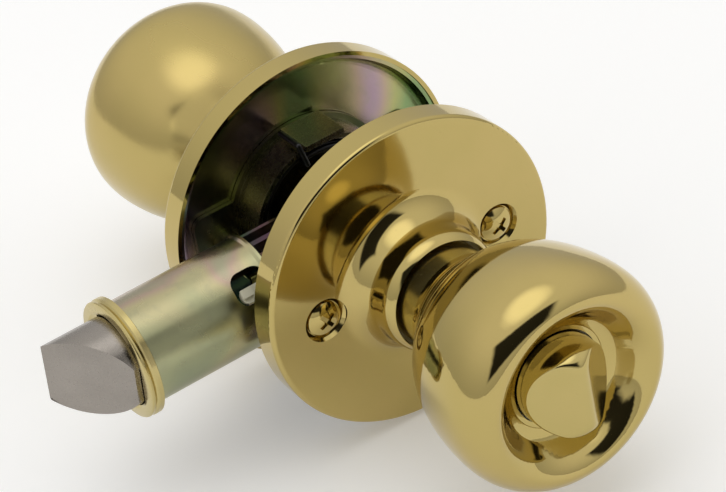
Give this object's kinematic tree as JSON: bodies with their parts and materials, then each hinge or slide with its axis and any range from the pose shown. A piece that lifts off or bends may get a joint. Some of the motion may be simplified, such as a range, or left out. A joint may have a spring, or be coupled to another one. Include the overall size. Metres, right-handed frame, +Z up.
{
  "type": "privacy door knob set",
  "caption": "Tulip-knob privacy door lockset: two knobs on round roses with a turn button, joined by a drive-in spring latch with a slanted bolt.",
  "frame": {"origin": "where the knobs' axis crosses the latch's axis, in the middle of the door's thickness", "axes": "+Y along the knobs' axis towards the outside knob, so the turn button faces -Y; -X along the latch towards the door's edge; +Z up"},
  "size_m": [0.1032, 0.1542, 0.0666],
  "materials": {
    "polished_brass": "polished, lacquered",
    "satin_brass": "satin, burnished",
    "yellow_zinc": "yellow chromate plate, iridescent",
    "dark_steel": "oiled steel, dull",
    "satin_bolt": "cast and tumbled, satin grey",
    "steel": "drawn steel",
    "spring_steel": "oil-tempered wire",
    "nylon": "moulded, matte"
  },
  "bodies": {
    "lock_body": {"inside_rose": "polished_brass", "outside_rose": "polished_brass", "inside_rose_liner": "yellow_zinc", "outside_rose_liner": "yellow_zinc", "inside_mounting_plate": "yellow_zinc", "outside_mounting_plate": "yellow_zinc", "inside_spring_housing": "dark_steel", "outside_spring_housing": "dark_steel", "inside_neck_bush": "nylon", "outside_neck_bush": "nylon", "housing_rivets": "steel", "lock_ring": "steel", "mounting_posts": "yellow_zinc", "rose_screws": "polished_brass", "latch_tube": "yellow_zinc", "backset_lug": "nylon", "latch_collar": "satin_brass", "case_plate_near": "yellow_zinc", "case_plate_far": "yellow_zinc", "case_rivets": "steel", "inside_return_spring": "spring_steel", "outside_return_spring": "spring_steel"},
    "outside_knob": {"outside_knob_shell": "polished_brass", "outside_knob_shank": "satin_brass", "outside_spring_driver": "dark_steel", "outside_retaining_ring": "spring_steel", "spindle": "steel", "spindle_collar": "steel"},
    "inside_knob": {"inside_knob_shell": "polished_brass", "inside_knob_shank": "satin_brass", "inside_spring_driver": "dark_steel", "inside_retaining_ring": "spring_steel", "button_bush": "nylon", "lock_housing": "nylon"},
    "turn_button": {"turn_button": "polished_brass", "lock_stem": "steel", "lock_cam": "steel"},
    "lock_dog": {"lock_dog": "steel"},
    "latch_hub": {"latch_hub": "steel"},
    "retractor": {"retractor_rail_near": "yellow_zinc", "retractor_rail_far": "yellow_zinc", "retractor_pins": "steel", "retractor_crossbar": "yellow_zinc", "bolt_spring": "spring_steel"},
    "latch_bolt": {"bolt_head": "satin_bolt", "bolt_tail": "steel"}
  },
  "joints": [
    {"name": "outside_knob_turn", "type": "hinge", "parent": "lock_body", "child": "outside_knob", "pos_m": [0, 0, 0], "axis": [0, 1, 0], "range_deg": [0, 60], "stiffness_Nm_per_rad": 0.3, "springref_deg": -17.19, "deforming": ["inside_return_spring", "outside_return_spring"]},
    {"name": "inside_knob_turn", "type": "hinge", "parent": "lock_body", "child": "inside_knob", "pos_m": [0, 0, 0], "axis": [0, 1, 0], "range_deg": [0, 60]},
    {"name": "hub_turn", "type": "hinge", "parent": "lock_body", "child": "latch_hub", "pos_m": [0, 0, 0], "axis": [0, 1, 0], "range_deg": [0, 60]},
    {"name": "retractor_slide", "type": "slide", "parent": "lock_body", "child": "retractor", "axis": [1, 0, 0], "range_m": [0, 0.0127]},
    {"name": "bolt_push", "type": "slide", "parent": "retractor", "child": "latch_bolt", "axis": [1, 0, 0], "range_m": [0, 0.0127], "stiffness_N_per_m": 400, "springref_m": -0.012, "deforming": ["bolt_spring"]},
    {"name": "button_turn", "type": "hinge", "parent": "inside_knob", "child": "turn_button", "pos_m": [0, -0.07, 0], "axis": [0, 1, 0], "range_deg": [0, 90]},
    {"name": "dog_lift", "type": "slide", "parent": "inside_knob", "child": "lock_dog", "axis": [1, 0, 0], "range_m": [0, 0.0015]}
  ],
  "couplings": [
    {"joint": "inside_knob_turn", "follows": "outside_knob_turn", "ratio": 1},
    {"joint": "hub_turn", "follows": "outside_knob_turn", "ratio": 1},
    {"joint": "retractor_slide", "follows": "outside_knob_turn", "m_per_rad": 0.012128},
    {"joint": "dog_lift", "follows": "button_turn", "m_per_rad": 0.00095493}
  ]
}
